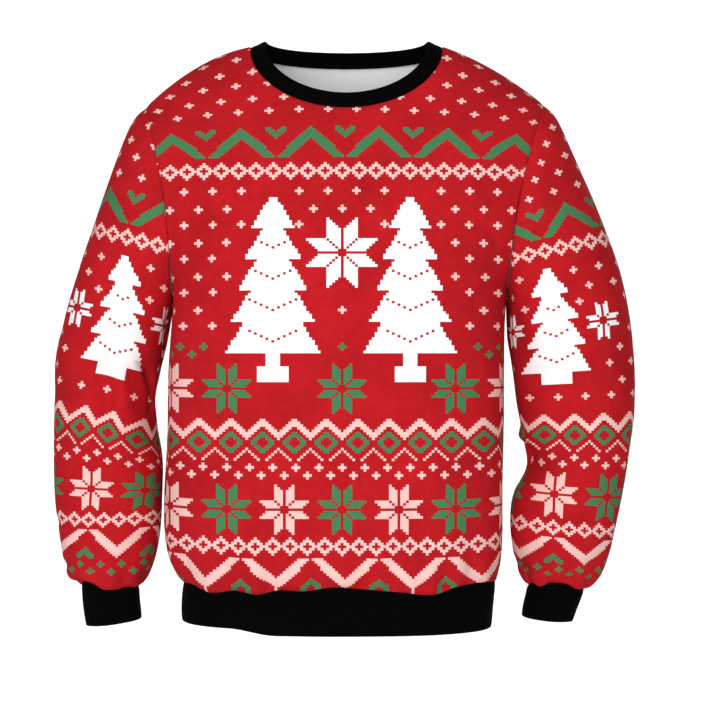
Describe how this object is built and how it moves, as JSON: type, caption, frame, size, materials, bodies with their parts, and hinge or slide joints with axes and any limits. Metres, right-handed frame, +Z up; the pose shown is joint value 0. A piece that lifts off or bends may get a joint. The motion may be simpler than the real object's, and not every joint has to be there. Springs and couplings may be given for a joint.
{
  "type": "christmas sweater filled out as worn",
  "caption": "Crew-neck christmas sweater filled out as worn, with long sleeves, a red cloth body in a knit-look winter print, and plain black collar, cuffs and hem band.",
  "frame": {"origin": "in the middle of the neck, level with the side neck points where the wearer's shoulders carry the garment", "axes": "+Z up out of the neck, the front faces -Y, +X toward the wearer's left sleeve"},
  "size_m": [0.6797, 0.2478, 0.6835],
  "materials": {
    "red_print": "matt printed jersey",
    "black_band": "matt doubled jersey"
  },
  "bodies": {
    "root": {"front": "red_print", "back": "red_print", "sleeve_right": "red_print", "sleeve_left": "red_print", "cuff_right": "black_band", "cuff_left": "black_band", "hem_band": "black_band", "collar": "black_band"}
  },
  "joints": []
}
